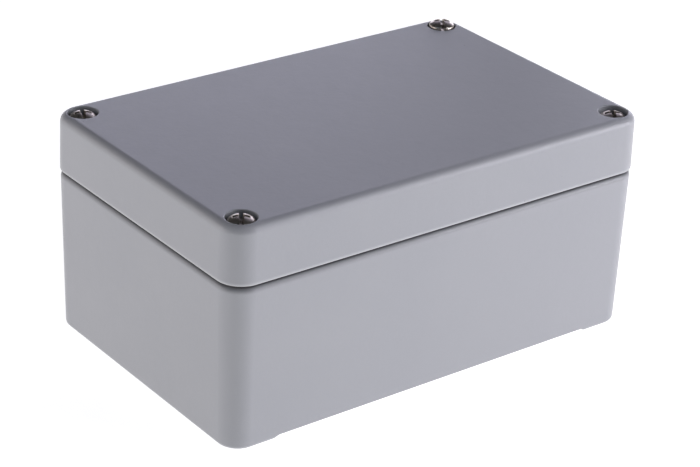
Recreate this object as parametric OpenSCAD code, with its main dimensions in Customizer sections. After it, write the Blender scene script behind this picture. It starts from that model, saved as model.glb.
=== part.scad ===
// Die cast box: drafted base casting, lid casting with captive corner screws,
// lid gasket in a groove, and an earth terminal inside the base.
// X runs along the long side, Y to the back, Z up. The origin is at the middle
// of the underside.

/* [Outside] */
// Length of the lid at its lower edge
box_l = 125; // [118:1:160]
// Width of the lid at its lower edge
box_w = 80.7; // [76:0.1:110]
// Height over both castings, without the screw heads
box_h = 58.4; // [52:0.2:90]
// Height of the lid's outer wall
lid_h = 14.8; // [14:0.1:18]
// Visible gap between the lid's lower edge and the base's rim
seam_gap = 0.6; // [0.3:0.1:0.9]
// How far the base's wall stands back from the lid's at the seam
seam_step = 0.15; // [0:0.05:0.3]
// Radius of the upright corners
corner_r = 6.5; // [5:0.5:8]
// Draft angle of the outer walls, in degrees
draft = 0.95; // [0.5:0.05:1.5]
// Rounding of the lid's top edge
top_round = 2.2; // [1:0.1:3]
// Rounding of the base's upper outer edge
rim_round = 0.9; // [0.3:0.1:1]
// Rounding of the base's bottom edge
foot_round = 1.2; // [0.5:0.1:1.2]

/* [Feet] */
// Length of each foot rail along X
foot_l = 13.2; // [12:0.2:16]
// Height of the foot rails
foot_h = 0.9; // [0.8:0.1:1.5]

/* [Walls] */
// Thickness of the lid's top
lid_top_t = 3; // [2.5:0.1:3.5]
// Height of the base's inner floor above the underside
floor_z = 4.2; // [3.8:0.1:5]
// Distance from the outer wall to the middle of the seal
seal_in = 3.3; // [3.2:0.1:3.6]
// Width of the base's tongue
tongue_w = 1.4; // [1.2:0.1:1.6]
// Height of the tongue above the base's rim
tongue_h = 2.2; // [1.8:0.1:2.4]
// Width of the lid's groove
groove_w = 2.6; // [2.4:0.1:2.6]
// Width of the rib inside the groove
rib_w = 1.4; // [1.2:0.1:1.6]
// Height of the gasket as pressed
gasket_h = 1.8; // [1.5:0.1:2]
// Length of each corner zone outside the seal, along X
zone_x = 12.75; // [12.5:0.25:14]
// Length of each corner zone outside the seal, along Y
zone_y = 19.8; // [19.5:0.1:21]

/* [Lid screws] */
// Distance of the screws from the outer sides
screw_in = 6; // [5.9:0.1:6.8]
// Diameter of the screw head
head_d = 6.9; // [6.6:0.1:7]
// Diameter of the counterbore
cbore_d = 7.6; // [7.5:0.1:7.8]
// Depth of the counterbore below the lid's top
cbore_h = 4.2; // [4:0.1:4.6]
// Height of the head from its seat to the edge of its crown
head_h = 3.4; // [3:0.1:3.6]
// Height of the crown above the edge of the head
crown_h = 0.7; // [0.4:0.1:0.8]
// Thread diameter
thread_d = 4; // [4:0.5:4]
// Diameter of the neck above the thread
neck_d = 3.2; // [3:0.1:3.2]
// Thread engagement in the base when tight
grip = 6; // [5:0.5:7]
// How far each screw stands out from tight: front left
front_left_out = 0.5; // [0:0.05:2.5]
// Front right
front_right_out = 0; // [0:0.05:2.5]
// Back left
back_left_out = 0.35; // [0:0.05:2.5]
// Back right
back_right_out = 1.75; // [0:0.05:2.5]

/* [Fixing] */
// Spacing of the wall fixing holes along X
fix_x = 111; // [109:1:112]
// Spacing of the wall fixing holes along Y
fix_y = 52; // [51:1:52]
// Diameter of the wall fixing holes
fix_d = 4.8; // [4:0.1:5]
// Diameter of the wells above the wall fixing holes
well_d = 8.2; // [7.8:0.1:8.2]
// Height of the seat in the wells
well_z = 6; // [5:0.5:8]
// Spacing of the plate bosses along X
boss_x = 82; // [70:1:82]
// Spacing of the plate bosses along Y
boss_y = 52; // [40:1:58]
// Diameter of the plate bosses
boss_d = 7; // [6:0.5:8]
// Height of the plate bosses above the floor
boss_h = 5; // [3:0.5:8]
// Diameter of the tapping holes in the plate bosses
tap_d = 3.3; // [2.5:0.1:3.5]

/* [Earth terminal] */
// Distance of the earth boss from the middle, along X
earth_x = 51.5; // [51:0.5:52.5]
// Diameter of the earth boss
earth_d = 7.6; // [7:0.2:8]
// Height of the top of the earth boss
earth_z = 11; // [10:0.5:14]
// Side of the square clamp washer
clamp_w = 10.4; // [10:0.2:10.8]

/* [Hidden] */
$fn = 48;
eps = 0.01;
hx = box_l / 2;
hy = box_w / 2;
edge_z = box_h - lid_h;              // lid's lower edge
rim_z = edge_z - seam_gap;           // base's rim
tongue_z = rim_z + tongue_h;         // top of the tongue
groove_z = tongue_z + gasket_h;      // roof of the groove
ceiling_z = box_h - lid_top_t;
seat_z = box_h - cbore_h;            // seat of the screw heads
shoulder_z = rim_z + 1;              // upper end of the screw thread
ledge_z = shoulder_z + 7.4;          // top of the retaining washers' recess
sx = hx - screw_in;
sy = hy - screw_in;
seal_x = hx - seal_in;               // middle of the seal: end bays
seal_y = hy - seal_in;               // middle of the seal: long sides
bay_x = hx - zone_x;                 // where the seal turns into the corner zones
bay_y = hy - zone_y;
recess_d = 7.6;                      // retaining washers' recess
pocket_z = 50;                       // roof of the hollows in the lid's corner zones
washer_t = 0.8;                      // retaining washer
clamp_t = 1.2;                       // earth clamp washer
lock_t = 1;                          // earth lock washer
run = 0.1;                           // side clearance of the gasket
fit = 0.05;                          // running radial clearance

// ---- outlines -------------------------------------------------------------

// Points of a rounded rectangle, anticlockwise, with half sides a and b
function ring(a, b, r, z, n = 8) = [
  for (q = [0:3], i = [0:n])
    let (t = 90 * q + 90 * i / n,
         cx = (q == 0 || q == 3) ? a - r : r - a,
         cy = (q < 2) ? b - r : r - b)
      [cx + r * cos(t), cy + r * sin(t), z]
];

// Closed skin through a list of rings [inset, z]; the radius follows the inset
module skin(rows, n = 8) {
  m = 4 * (n + 1);
  k = len(rows);
  pts = [for (w = rows) each ring(hx - w[0], hy - w[0], max(corner_r - w[0], 0.5), w[1], n)];
  sides = [
    for (j = [0:k - 2], i = [0:m - 1])
      let (a = j * m + i, b = j * m + (i + 1) % m)
        each [[a, a + m, b], [b, a + m, b + m]]
  ];
  polyhedron(points = pts, convexity = 4,
    faces = concat(sides,
      [[for (i = [0:m - 1]) i]],
      [[for (i = [0:m - 1]) k * m - 1 - i]]));
}

// Rectangle with half sides a and b and round corners
module rrect(a, b, r) {
  square([2 * a, 2 * (b - r)], center = true);
  square([2 * (a - r), 2 * b], center = true);
  for (x = [-1, 1], y = [-1, 1]) translate([x * (a - r), y * (b - r)]) circle(r);
}

// Area inside the seal's middle line, moved out by o
module seal(o) {
  rv = 4.6;
  rk = 3.2;
  rrect(seal_x + o, bay_y + o, rv + o);
  rrect(bay_x + o, seal_y + o, rv + o);
  f = rk - o;
  quarters() translate([bay_x + o, bay_y + o]) difference() {
    translate([-eps, -eps]) square(f + eps);
    translate([f, f]) circle(f);
  }
}

// Band along the seal between two offsets
module seal_band(o_in, o_out, z0, z1) {
  translate([0, 0, z0]) linear_extrude(z1 - z0) difference() {
    seal(o_out);
    seal(o_in);
  }
}

// The same shape in all four quarters, mirrored
module quarters() for (i = [0, 1], j = [0, 1]) mirror([i, 0, 0]) mirror([0, j, 0]) children();

// The same shape at four places, not mirrored
module corners(x, y) for (i = [-1, 1], j = [-1, 1]) translate([i * x, j * y, 0]) children();

// ---- castings -------------------------------------------------------------

// Inset of the outer wall at a height, from the draft
function lid_inset(z) = (z - edge_z) * tan(draft);
function base_inset(z) = seam_step + (rim_z - z) * tan(draft);

module lid_skin() {
  zr = box_h - top_round;
  skin(concat(
    [[0, edge_z], [lid_inset(zr), zr]],
    [for (i = [1:5]) let (t = 18 * i)
      [lid_inset(zr) + top_round * (1 - cos(t)), zr + top_round * sin(t)]]));
}

module base_skin() {
  zb = foot_round;
  zr = rim_z - rim_round;
  skin(concat(
    [for (i = [4:-1:1]) let (t = 22.5 * i)
      [base_inset(zb) + foot_round * (1 - cos(t)), zb - foot_round * sin(t)]],
    [[base_inset(zb), zb], [base_inset(zr), zr]],
    [for (i = [1:4]) let (t = 22.5 * i)
      [base_inset(zr) + rim_round * (1 - cos(t)), zr + rim_round * sin(t)]]));
}

// Space between the foot rails, open at both long sides
module foot_gap() {
  a = hx - foot_l;
  rotate([90, 0, 0]) linear_extrude(2 * box_w, center = true)
    polygon([[-a, -1], [-a, 0], [2 * foot_h - a, foot_h], [a - 2 * foot_h, foot_h], [a, 0], [a, -1]]);
}

// Upright boss on the floor with a blind hole
module boss(d, top, hole, deep) difference() {
  translate([0, 0, floor_z - 0.5]) cylinder(d = d, h = top - floor_z + 0.5);
  translate([0, 0, top - deep]) cylinder(d = hole, h = deep + 1);
}

module base() color([0.66, 0.67, 0.70]) {
  difference() {
    union() {
      base_skin();
      seal_band(-tongue_w / 2, tongue_w / 2, rim_z - 1, tongue_z);
    }
    difference() {
      translate([0, 0, floor_z]) linear_extrude(box_h) seal(-tongue_w / 2);
      corners(boss_x / 2, boss_y / 2) translate([0, 0, floor_z - 1]) cylinder(d = boss_d, h = boss_h + 1);
      translate([-earth_x, 0, floor_z - 1]) cylinder(d = earth_d, h = earth_z - floor_z + 1);
    }
    foot_gap();
    corners(fix_x / 2, fix_y / 2) {
      translate([0, 0, -1]) cylinder(d = fix_d, h = well_z + 2);
      translate([0, 0, well_z]) cylinder(d = well_d, h = box_h);
    }
    corners(sx, sy) translate([0, 0, rim_z - grip - 2.8]) cylinder(d = thread_d, h = box_h);
    corners(boss_x / 2, boss_y / 2) translate([0, 0, floor_z + boss_h - 6]) cylinder(d = tap_d, h = 7);
    translate([-earth_x, 0, earth_z - 6.6]) cylinder(d = thread_d, h = 7.6);
  }
}

module lid() color([0.66, 0.67, 0.70]) {
  difference() {
    union() {
      lid_skin();
      corners(sx, sy) translate([0, 0, rim_z]) cylinder(d = 9, h = 2);
    }
    translate([0, 0, rim_z - 1]) linear_extrude(ceiling_z - rim_z + 1) seal(-groove_w / 2 - rib_w);
    seal_band(-groove_w / 2, groove_w / 2, rim_z - 1, groove_z);
    lid_pockets();
    corners(sx, sy) {
      translate([0, 0, seat_z]) cylinder(d = cbore_d, h = cbore_h + 1);
      translate([0, 0, rim_z]) cylinder(d = thread_d + 0.5, h = box_h);
      translate([0, 0, rim_z - 1]) cylinder(d = recess_d, h = ledge_z - rim_z + 1);
    }
  }
}

// Hollows in the lid's corner zones, beside the screw bosses
module lid_pockets() {
  x0 = bay_x + groove_w / 2 + rib_w;
  y0 = bay_y + groove_w / 2 + rib_w;
  quarters() translate([0, 0, rim_z - 1]) linear_extrude(pocket_z - rim_z + 1) difference() {
    translate([x0, y0]) square([hx - 2.3 - x0, sy - 3 - y0]);
    translate([sx, sy]) circle(d = 10);
  }
}

// ---- seal -----------------------------------------------------------------

module lid_gasket() color([0.12, 0.12, 0.13])
  seal_band(run - groove_w / 2, groove_w / 2 - run, tongue_z, groove_z);

// ---- screws ---------------------------------------------------------------

// Head with a low crown, with a slot and a cross cut into it; the seat is at z = 0
module head(d, h, crown, slot_a) difference() {
  rotate_extrude() polygon(concat(
    [[0, 0], [d / 2, 0], [d / 2, h - 0.25], [d / 2 - 0.25, h]],
    [for (i = [1:4]) let (t = 22.5 * i) [(d / 2 - 0.25) * cos(t), h + crown * sin(t)]]));
  rotate([0, 0, slot_a]) {
    translate([-d, -0.55, h - 0.9]) cube([2 * d, 1.1, 3]);
    translate([-0.55, -2.1, h - 1.2]) cube([1.1, 4.2, 3]);
    translate([-2.1, -0.55, h - 1.2]) cube([4.2, 1.1, 3]);
  }
}

// Captive lid screw: head, neck and thread, at the height where it stands
module lid_screw(x, y, out, slot_a) color([0.72, 0.71, 0.69]) translate([x, y, out]) {
  neck_r = neck_d / 2;
  thread_r = thread_d / 2 - fit;
  low = rim_z - grip;
  translate([0, 0, seat_z]) head(head_d, head_h, crown_h, slot_a);
  rotate_extrude() polygon([
    [0, low], [thread_r - 0.6, low], [thread_r, low + 0.6], [thread_r, shoulder_z],
    [neck_r, shoulder_z], [neck_r, seat_z + 0.5], [0, seat_z + 0.5]]);
}

// Washer on the neck, resting on the upper end of the thread
module retaining_washer(x, y, out) color([0.86, 0.85, 0.80]) translate([x, y, out + shoulder_z])
  difference() {
    cylinder(d = recess_d - 0.5, h = washer_t);
    translate([0, 0, -1]) cylinder(d = neck_d + 2 * fit, h = washer_t + 2);
  }

module lid_screw_front_left() lid_screw(-sx, -sy, front_left_out, 57);
module lid_screw_front_right() lid_screw(sx, -sy, front_right_out, 60);
module lid_screw_back_left() lid_screw(-sx, sy, back_left_out, 68);
module lid_screw_back_right() lid_screw(sx, sy, back_right_out, 57);
module retaining_washer_front_left() retaining_washer(-sx, -sy, front_left_out);
module retaining_washer_front_right() retaining_washer(sx, -sy, front_right_out);
module retaining_washer_back_left() retaining_washer(-sx, sy, back_left_out);
module retaining_washer_back_right() retaining_washer(sx, sy, back_right_out);

// ---- earth terminal -------------------------------------------------------

// Square washer with two ears turned down beside the boss
module earth_clamp_washer() color([0.78, 0.72, 0.48]) translate([-earth_x, 0, earth_z]) {
  difference() {
    union() {
      translate([-clamp_w / 2, -clamp_w / 2, 0]) cube([clamp_w, clamp_w, clamp_t]);
      for (i = [0, 1]) mirror([0, i, 0])
        translate([-clamp_w / 2, clamp_w / 2 - 1, -1.6]) cube([clamp_w, 1, 2]);
    }
    translate([0, 0, -1]) cylinder(d = thread_d + 0.5, h = 4);
  }
}

// Split spring ring
module earth_lock_washer() color([0.72, 0.71, 0.69]) translate([-earth_x, 0, earth_z + clamp_t])
  difference() {
    cylinder(d = 7, h = lock_t);
    translate([0, 0, -1]) cylinder(d = thread_d + 0.2, h = lock_t + 2);
    translate([0, -0.4, -1]) cube([5, 0.8, lock_t + 2]);
  }

module earth_screw() color([0.78, 0.72, 0.48]) translate([-earth_x, 0, earth_z + clamp_t + lock_t]) {
  r = thread_d / 2 - fit;
  low = -clamp_t - lock_t - 6;
  head(7.2, 2.2, 0.5, 40);
  rotate_extrude() polygon([[0, low], [r - 0.6, low], [r, low + 0.6], [r, 0.4], [0, 0.4]]);
}

base();
lid();
lid_gasket();
lid_screw_front_left();
lid_screw_front_right();
lid_screw_back_left();
lid_screw_back_right();
retaining_washer_front_left();
retaining_washer_front_right();
retaining_washer_back_left();
retaining_washer_back_right();
earth_screw();
earth_clamp_washer();
earth_lock_washer();
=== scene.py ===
import math

import bpy
import numpy as np
from mathutils import Matrix, Vector
from mathutils.geometry import delaunay_2d_cdt


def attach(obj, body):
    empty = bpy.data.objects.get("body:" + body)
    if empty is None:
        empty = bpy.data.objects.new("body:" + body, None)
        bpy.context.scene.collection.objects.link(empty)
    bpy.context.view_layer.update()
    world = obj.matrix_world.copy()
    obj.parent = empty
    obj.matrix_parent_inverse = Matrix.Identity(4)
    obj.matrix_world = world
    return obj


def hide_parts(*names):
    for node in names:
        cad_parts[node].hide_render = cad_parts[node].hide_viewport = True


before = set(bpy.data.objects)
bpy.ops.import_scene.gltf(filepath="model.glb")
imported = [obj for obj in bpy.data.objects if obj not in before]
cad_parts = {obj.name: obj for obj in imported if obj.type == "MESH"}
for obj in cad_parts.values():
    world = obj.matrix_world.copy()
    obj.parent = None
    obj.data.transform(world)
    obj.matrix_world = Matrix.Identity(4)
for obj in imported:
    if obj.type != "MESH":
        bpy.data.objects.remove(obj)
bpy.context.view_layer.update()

scene = bpy.context.scene
MM = 0.001
T = math.tan(math.radians(0.95))      # draft of the outer walls

# Sizes in mm, as the CAD has them
HX, HY, R = 62.5, 40.35, 6.5          # lid's lower edge
TOP, EDGE, RIM = 58.4, 43.6, 43.0     # lid's top, lid's lower edge, base's rim
SX, SY = 56.5, 34.35                  # lid screws
WX, WY = 55.5, 26.0                   # wall fixing wells
PX, PY = 41.0, 26.0                   # plate bosses
EX = -51.5                            # earth terminal
OUT = {"front_left": 0.5, "front_right": 0.0, "back_left": 0.35, "back_right": 1.75}
TURN = {"front_left": 57, "front_right": 60, "back_left": 68, "back_right": 57}
SIDE = {"front_left": (-1, -1), "front_right": (1, -1), "back_left": (-1, 1), "back_right": (1, 1)}


# ---- camera ------------------------------------------------------------------

cam = bpy.data.cameras.new("camera")
cam.lens, cam.sensor_width, cam.sensor_fit = 118.623, 36.0, "HORIZONTAL"
cam.clip_start, cam.clip_end = 0.02, 20
cam_ob = bpy.data.objects.new("camera", cam)
scene.collection.objects.link(cam_ob)
r_ = Vector((0.8000782, -0.5985790, 0.0397250)).normalized()
b_ = Vector((-0.5505443, -0.7063444, 0.4449477)).normalized()
u_ = b_.cross(r_).normalized()
r_ = u_.cross(b_).normalized()
cam_ob.matrix_world = Matrix((
    (r_.x, u_.x, b_.x, -0.322482),
    (r_.y, u_.y, b_.y, -0.415478),
    (r_.z, u_.z, b_.z, 0.286001),
    (0, 0, 0, 1)))
scene.camera = cam_ob


# ---- outlines ----------------------------------------------------------------
# An outline is an anticlockwise list of (x, y, nx, ny); offset o moves each point along its normal.

def arc(cx, cy, r, a0, a1, n, s=1):
    out = []
    for i in range(n + 1):
        a = math.radians(a0 + (a1 - a0) * i / n)
        out.append((cx + r * math.cos(a), cy + r * math.sin(a), s * math.cos(a), s * math.sin(a)))
    return out


def spread(a, b, step, extra=()):
    """Points strictly between a and b, about step apart, with the extra values among them."""
    lo, hi = min(a, b), max(a, b)
    extra = sorted(x for x in extra if lo < x < hi)
    marks = [lo] + extra + [hi]
    out = []
    for p, q in zip(marks, marks[1:]):
        n = max(1, int(round((q - p) / step)))
        out += [p + (q - p) * i / n for i in range(n)]
    out = out[1:]
    return out if a < b else out[::-1]


def rounded_rect(a, b, r, n, step, xs=()):
    ax, by = a - r, b - r
    pts = arc(ax, by, r, 0, 90, n)
    pts += [(x, b, 0, 1) for x in spread(ax, -ax, step, xs)]
    pts += arc(-ax, by, r, 90, 180, n)
    pts += [(-a, y, -1, 0) for y in spread(by, -by, step)]
    pts += arc(-ax, -by, r, 180, 270, n)
    pts += [(x, -b, 0, -1) for x in spread(-ax, ax, step, xs)]
    pts += arc(ax, -by, r, 270, 360, n)
    pts += [(a, y, 1, 0) for y in spread(-by, by, step)]
    return pts


def seal_line(n=10, step=4.0):
    """Middle line of the seal: a rectangle with its corners stepped in."""
    ax, ay, bx, by, rv, rk = 59.2, 20.55, 49.75, 37.05, 4.6, 3.2
    pts = []
    for q in range(4):
        sx, sy = ((1, 1), (-1, 1), (-1, -1), (1, -1))[q]
        # one quarter in the first quadrant, from the long end bay round to the long side
        quarter = arc(ax - rv, ay - rv, rv, 0, 90, n)
        quarter += [(x, ay, 0, 1) for x in spread(ax - rv, bx + rk, 2.0)]
        quarter += arc(bx + rk, ay + rk, rk, 270, 180, n, -1)
        quarter += [(bx, y, 1, 0) for y in spread(ay + rk, by - rv, 2.0)]
        quarter += arc(bx - rv, by - rv, rv, 0, 90, n)
        if sx * sy < 0:
            quarter = quarter[::-1]
        quarter = [(sx * x, sy * y, sx * nx, sy * ny) for x, y, nx, ny in quarter]
        pts += quarter
        x, y = quarter[-1][:2]
        if q in (0, 2):
            pts += [(v, y, 0, sy) for v in spread(x, -x, step)]
        else:
            pts += [(x, v, sx, 0) for v in spread(y, -y, step)]
    return pts


class Shell:
    """Mesh under construction, in mm, with a normal, a coat value and a tone at each point; the tone is painted shade
    below 1 and painted highlight above 1.
    """

    def __init__(self):
        self.co, self.no, self.coat, self.tone, self.faces = [], [], [], {}, []

    def ring(self, rows, coat=1.0):
        start = len(self.co)
        for x, y, z, nx, ny, nz in rows:
            self.co.append((x, y, z))
            self.no.append((nx, ny, nz))
            self.coat.append(coat)
        return list(range(start, len(self.co)))

    def join(self, a, b):
        n = len(a)
        for i in range(n):
            j = (i + 1) % n
            self.faces.append((a[i], a[j], b[j], b[i]))

    def strip(self, line, profile, start=None, coat=1.0):
        """Sweeps a profile of (offset, z, normal's offset part, normal's z part) round an outline. Returns the first and last rings."""
        first = last = None
        for row in profile:
            o, z, no, nz = row[:4]
            c = row[4] if len(row) > 4 else coat
            if first is None and start is not None:
                ids = start
            else:
                k = math.hypot(no, nz) or 1
                ids = self.ring([(x + nx * o, y + ny * o, z, nx * no / k, ny * no / k, nz / k)
                                 for x, y, nx, ny in line], c)
            if len(row) > 5:
                self.tone.update((i, row[5]) for i in ids)
            if last is not None:
                self.join(last, ids)
            first = ids if first is None else first
            last = ids
        return first, last

    def lathe(self, cx, cy, profile, n=64, start=None, coat=1.0):
        return self.strip([(cx, cy, math.cos(2 * math.pi * i / n), math.sin(2 * math.pi * i / n)) for i in range(n)],
                          profile, start, coat)

    def fill(self, loops, surf=None, up=1, pts=(), cons=(), coat=1.0):
        """Fills the first loop, less the others, with points on the surface surf(x, y) -> (z, normal)."""
        ids = [i for loop in loops for i in loop]
        new = []
        for x, y in pts:
            z, n = surf(x, y)
            new.append(len(self.co))
            self.co.append((x, y, z))
            self.no.append(n)
            self.coat.append(coat)
        at = {v: k for k, v in enumerate(ids + new)}
        names = ids + new
        flat = [Vector(self.co[i][:2]) for i in names]
        edges = []
        for loop in loops:
            edges += [(at[a], at[b]) for a, b in zip(loop, loop[1:] + loop[:1])]
        for a, b in cons:
            a = new[a[1]] if isinstance(a, tuple) else a
            b = new[b[1]] if isinstance(b, tuple) else b
            edges.append((at[a], at[b]))
        verts, _, tris, origin, _, _ = delaunay_2d_cdt(flat, edges, [], 0, 1e-7, True)
        where = []
        for v, o in zip(verts, origin):
            if o:
                where.append(names[o[0]])
            else:
                z, n = surf(v.x, v.y) if surf else (self.co[ids[0]][2], (0, 0, up))
                where.append(len(self.co))
                self.co.append((v.x, v.y, z))
                self.no.append(n)
                self.coat.append(coat)
        xy = np.array([(v.x, v.y) for v in verts])
        tris = np.array([t for t in tris if len(t) == 3])
        c = xy[tris].mean(1)
        inside = np.zeros(len(c), bool)
        for loop in loops:
            p = np.array([self.co[i][:2] for i in loop])
            q = np.roll(p, -1, 0)
            for (x0, y0), (x1, y1) in zip(p, q):
                if y0 == y1:
                    continue
                hit = (c[:, 1] > min(y0, y1)) & (c[:, 1] <= max(y0, y1))
                t = (c[:, 1] - y0) / (y1 - y0)
                inside ^= hit & (c[:, 0] < x0 + t * (x1 - x0))
        for t in tris[inside]:
            self.faces.append(tuple(where[k] for k in t))

    def build(self, name, materials, body, slot, *nodes):
        return make_piece(name, np.array(self.co, float), np.array(self.no, float), self.faces,
                          materials, body, nodes, np.array(self.coat, float),
                          np.array([self.tone.get(i, 1.0) for i in range(len(self.co))]))


def make_piece(name, co, no, faces, materials, body, nodes, coat=None, tone=None):
    no = no / np.maximum(np.linalg.norm(no, axis=1), 1e-12)[:, None]
    quads = isinstance(faces, np.ndarray)
    # every face looks the way its points' normals do
    if quads:
        p = co[faces]
        g = np.cross(p[:, 2] - p[:, 0], p[:, 3] - p[:, 1])
        flip = np.einsum("ij,ij->i", g, no[faces].sum(1)) < 0
        faces = np.where(flip[:, None], faces[:, ::-1], faces)
        total = faces.size
        loops = faces.ravel()
        sizes = np.full(len(faces), faces.shape[1])
    else:
        fixed = []
        for f in faces:
            p = [co[i] for i in f]
            g = np.cross(p[1] - p[0], p[2] - p[0]) if len(f) == 3 else np.cross(p[2] - p[0], p[3] - p[1])
            fixed.append(f[::-1] if float(np.dot(g, no[list(f)].sum(0))) < 0 else f)
        loops = np.array([i for f in fixed for i in f])
        sizes = np.array([len(f) for f in fixed])
        total = len(loops)
    mesh = bpy.data.meshes.new(name)
    mesh.vertices.add(len(co))
    mesh.vertices.foreach_set("co", (co * MM).astype(np.float32).ravel())
    mesh.loops.add(total)
    mesh.loops.foreach_set("vertex_index", loops.astype(np.int32))
    mesh.polygons.add(len(sizes))
    starts = np.concatenate([[0], np.cumsum(sizes)[:-1]])
    mesh.polygons.foreach_set("loop_start", starts.astype(np.int32))
    mesh.polygons.foreach_set("loop_total", sizes.astype(np.int32))
    mesh.update(calc_edges=True)
    mesh.validate()
    if coat is not None:
        a = mesh.attributes.new("coat", "FLOAT", "POINT")
        a.data.foreach_set("value", coat.astype(np.float32))
        # tone: painted shade in the seam and painted highlight on the lid's lip, read by the casting material
        a = mesh.attributes.new("tone", "FLOAT", "POINT")
        a.data.foreach_set("value", tone.astype(np.float32))
    mesh.shade_smooth()
    mesh.normals_split_custom_set_from_vertices([tuple(n) for n in no])
    for m in materials:
        mesh.materials.append(m)
    ob = bpy.data.objects.new(name, mesh)
    scene.collection.objects.link(ob)
    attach(ob, body)
    if nodes:
        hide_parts(*nodes)
    return ob


def fillet(o0, z0, o1, z1, n0, n1, n=4):
    """Profile points of a round turn from (o0, z0) with normal n0 to (o1, z1) with normal n1."""
    # control point: where the two tangent lines meet
    t0, t1 = (-n0[1], n0[0]), (-n1[1], n1[0])
    det = t0[0] * -t1[1] + t1[0] * t0[1]
    dx, dz = o1 - o0, z1 - z0
    s = (dx * -t1[1] + t1[0] * dz) / det
    cx, cz = o0 + t0[0] * s, z0 + t0[1] * s
    w = math.cos(math.acos(max(-1, min(1, n0[0] * n1[0] + n0[1] * n1[1]))) / 2)
    out = []
    for i in range(n + 1):
        t = i / n
        b0, b1, b2 = (1 - t) ** 2, 2 * t * (1 - t) * w, t * t
        k = b0 + b1 + b2
        o, z = (b0 * o0 + b1 * cx + b2 * o1) / k, (b0 * z0 + b1 * cz + b2 * z1) / k
        # the normal turns evenly
        a0, a1 = math.atan2(n0[1], n0[0]), math.atan2(n1[1], n1[0])
        d = (a1 - a0 + math.pi) % (2 * math.pi) - math.pi
        a = a0 + d * t
        out.append((o, z, math.cos(a), math.sin(a)))
    return out


UP, DOWN, OUTW, INW = (0, 1), (0, -1), (1, 0), (-1, 0)


def coated(rows, c):
    return [tuple(r[:4]) + (c,) for r in rows]


# ---- materials ----------------------------------------------------------------

def new_material(name):
    m = bpy.data.materials.new(name)
    m.use_nodes = True
    nt = m.node_tree
    nt.nodes.clear()
    return m, nt


def node(nt, kind, **props):
    n = nt.nodes.new(kind)
    for k, v in props.items():
        if k.startswith("in_"):
            key = k[3:]
            key = int(key) if key.isdigit() else key.replace("_", " ")
            n.inputs[key].default_value = v
        else:
            setattr(n, k, v)
    return n


def link(nt, a, b):
    nt.links.new(a, b)


def noise(nt, vec, scale, detail=3.0, rough=0.5, distortion=0.0):
    n = node(nt, "ShaderNodeTexNoise")
    n.inputs["Scale"].default_value = scale
    n.inputs["Detail"].default_value = detail
    n.inputs["Roughness"].default_value = rough
    n.inputs["Distortion"].default_value = distortion
    link(nt, vec, n.inputs["Vector"])
    return n.outputs["Fac"]


def ramp(nt, fac, stops):
    n = node(nt, "ShaderNodeValToRGB")
    el = n.color_ramp.elements
    while len(el) > 1:
        el.remove(el[-1])
    el[0].position, el[0].color = stops[0][0], stops[0][1]
    for p, c in stops[1:]:
        e = el.new(p)
        e.color = c
    link(nt, fac, n.inputs["Fac"])
    return n.outputs["Color"]


def grey(v):
    return (v, v, v, 1)


def mathn(nt, op, a, b=None, clamp=False):
    n = node(nt, "ShaderNodeMath", operation=op, use_clamp=clamp)
    for k, v in enumerate((a, b)):
        if v is None:
            continue
        if isinstance(v, (int, float)):
            n.inputs[k].default_value = v
        else:
            link(nt, v, n.inputs[k])
    return n.outputs[0]


def mapr(nt, v, a, b, c, d, smooth=False):
    n = node(nt, "ShaderNodeMapRange")
    n.interpolation_type = "SMOOTHSTEP" if smooth else "LINEAR"
    link(nt, v, n.inputs["Value"])
    for k, x in zip(("From Min", "From Max", "To Min", "To Max"), (a, b, c, d)):
        n.inputs[k].default_value = x
    return n.outputs["Result"]


def mix_rgb(nt, fac, a, b):
    n = node(nt, "ShaderNodeMix", data_type="RGBA")
    for key, v in (("Factor", fac), ("A", a), ("B", b)):
        sock = next(s for s in n.inputs if s.name == key and (s.type == "RGBA" if key != "Factor" else s.type == "VALUE"))
        if isinstance(v, (tuple, float, int)):
            sock.default_value = v
        else:
            link(nt, v, sock)
    return next(s for s in n.outputs if s.type == "RGBA")


def bump(nt, height, distance, strength=1.0, normal=None):
    n = node(nt, "ShaderNodeBump")
    n.inputs["Distance"].default_value = distance
    n.inputs["Strength"].default_value = strength
    link(nt, height, n.inputs["Height"])
    if normal is not None:
        link(nt, normal, n.inputs["Normal"])
    return n.outputs["Normal"]


PAINT = (0.395, 0.400, 0.432)


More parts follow.
